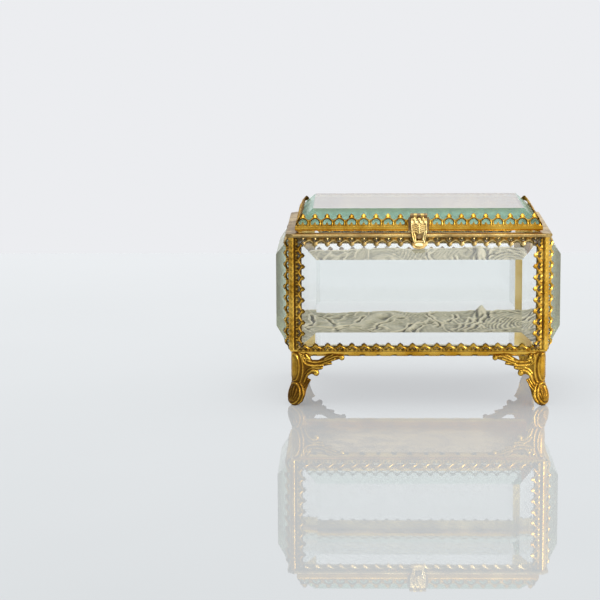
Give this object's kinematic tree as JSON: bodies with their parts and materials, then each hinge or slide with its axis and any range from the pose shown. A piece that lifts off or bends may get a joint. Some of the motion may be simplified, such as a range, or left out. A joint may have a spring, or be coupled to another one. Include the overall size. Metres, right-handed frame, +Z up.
{
  "type": "glass casket box",
  "caption": "Rectangular dressing-table casket with bevelled glass walls and a hinged bevelled glass lid in a pierced gilt frame on stamped feet, silk pad inside.",
  "frame": {"origin": "middle of the rest plane, under the middle of the case", "axes": "+X to the right, +Y to the back where the hinge is, +Z up"},
  "size_m": [0.128, 0.092, 0.0882],
  "materials": {
    "crystal": "clear, slightly green bevelled plate",
    "gilt": "gilt stamped brass, bright on the high spots",
    "aged_gilt": "worn gilding over brown brass",
    "plain_brass": "plain satin brass",
    "silk": "ruched cream silk, aged",
    "card": "stiff grey card"
  },
  "bodies": {
    "case": {"front_glass": "crystal", "back_glass": "crystal", "left_glass": "crystal", "right_glass": "crystal", "front_left_post": "gilt", "front_right_post": "gilt", "back_left_post": "gilt", "back_right_post": "gilt", "front_left_inner_angle": "gilt", "front_right_inner_angle": "gilt", "back_left_inner_angle": "gilt", "back_right_inner_angle": "gilt", "front_top_rail": "aged_gilt", "back_top_rail": "aged_gilt", "left_top_rail": "aged_gilt", "right_top_rail": "aged_gilt", "front_bottom_rail": "gilt", "back_bottom_rail": "gilt", "left_bottom_rail": "gilt", "right_bottom_rail": "gilt", "front_left_foot": "gilt", "front_right_foot": "gilt", "back_left_foot": "gilt", "back_right_foot": "gilt", "bottom_sheet": "plain_brass", "pad_card": "card", "silk_pad": "silk", "catch_stud": "gilt", "hinge_case_leaf": "gilt", "hinge_pin": "plain_brass"},
    "lid": {"lid_glass": "crystal", "front_lid_rail": "gilt", "back_lid_rail": "gilt", "left_lid_rail": "gilt", "right_lid_rail": "gilt", "hinge_lid_leaf": "gilt", "hasp_bracket": "gilt", "hasp_pin": "plain_brass"},
    "hasp": {"hasp_strap": "gilt"}
  },
  "joints": [
    {"name": "lid_hinge", "type": "hinge", "parent": "case", "child": "lid", "pos_m": [0, 0.0391, 0.0797], "axis": [-1, 0, 0], "range_deg": [0, 105]},
    {"name": "hasp_hinge", "type": "hinge", "parent": "lid", "child": "hasp", "pos_m": [0, -0.038, 0.086], "axis": [-1, 0, 0], "range_deg": [0, 165]}
  ]
}
